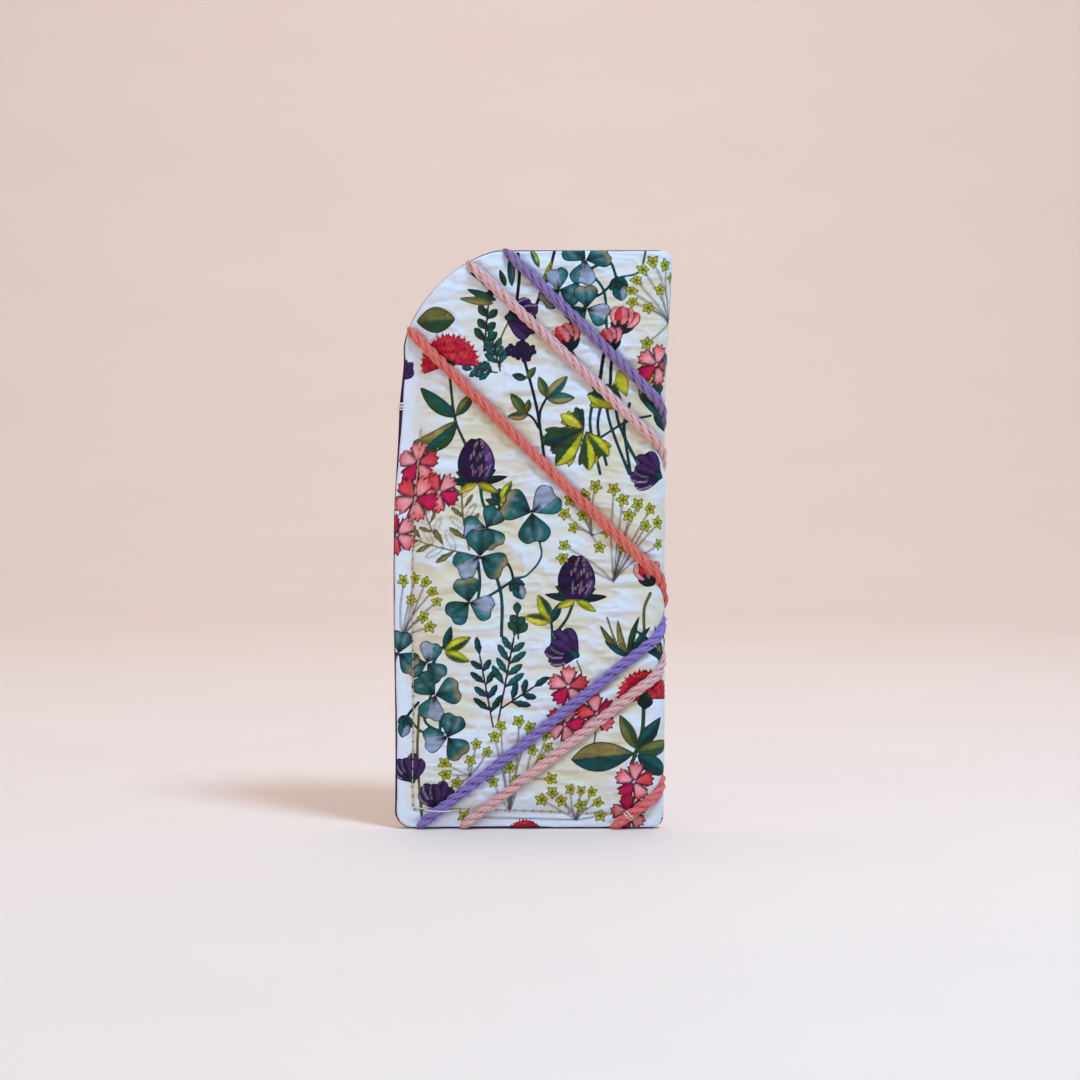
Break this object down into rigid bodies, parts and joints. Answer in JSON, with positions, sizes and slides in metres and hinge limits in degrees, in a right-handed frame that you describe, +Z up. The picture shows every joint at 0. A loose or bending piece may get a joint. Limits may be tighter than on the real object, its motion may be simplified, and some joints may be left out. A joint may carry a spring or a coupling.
{
  "type": "soft quilted glasses case",
  "caption": "Soft slip-in glasses case: printed cloth folded over batting and a dark lining, sewn down one side, with an open corner mouth and slanting cords.",
  "frame": {"origin": "middle of the bottom edge, on the surface that the case stands on", "axes": "+Z up the case to its mouth, -Y out of the front, +X to the folded side"},
  "size_m": [0.093, 0.022, 0.19],
  "materials": {
    "printed_cotton": "Plain-weave quilting cotton, cream, with a printed garden of flowers and leaves, softly puckered over the batting.",
    "batting": "White needled polyester batting, fuzzy and matt.",
    "lining_cotton": "Plain dark aubergine cotton.",
    "purple_cord": "Twisted mercerised cotton cord, purple.",
    "violet_cord": "Twisted mercerised cotton cord, blue violet.",
    "pink_cord": "Twisted mercerised cotton cord, salmon pink.",
    "coral_cord": "Twisted mercerised cotton cord, coral red.",
    "cream_thread": "Cream cotton sewing thread.",
    "white_thread": "White cotton sewing thread."
  },
  "bodies": {
    "pouch": {"pouch_cover": "printed_cotton", "pouch_batting": "batting", "pouch_lining": "lining_cotton", "upper_purple_cord": "purple_cord", "upper_pink_cord": "pink_cord", "upper_coral_cord": "coral_cord", "lower_purple_cord": "violet_cord", "lower_pink_cord": "pink_cord", "lower_coral_cord": "coral_cord", "side_seam_thread": "cream_thread", "bottom_seam_thread": "cream_thread", "cord_tacks": "white_thread", "bar_tack": "white_thread"},
    "front_lip": {"front_lip_cover": "printed_cotton", "front_lip_batting": "batting", "front_lip_lining": "lining_cotton", "upper_purple_cord_end": "purple_cord", "upper_pink_cord_end": "pink_cord", "upper_coral_cord_end": "coral_cord"},
    "back_lip": {"back_lip_cover": "printed_cotton", "back_lip_batting": "batting", "back_lip_lining": "lining_cotton"}
  },
  "joints": [
    {"name": "front_lip_bend", "type": "hinge", "parent": "pouch", "child": "front_lip", "pos_m": [-0.0445, -0.006, 0.141], "axis": [0.8598, 0, 0.5107], "range_deg": [0, 45], "stiffness_Nm_per_rad": 0.004},
    {"name": "back_lip_bend", "type": "hinge", "parent": "pouch", "child": "back_lip", "pos_m": [-0.0445, 0.006, 0.141], "axis": [-0.8598, 0, -0.5107], "range_deg": [0, 45], "stiffness_Nm_per_rad": 0.004}
  ]
}
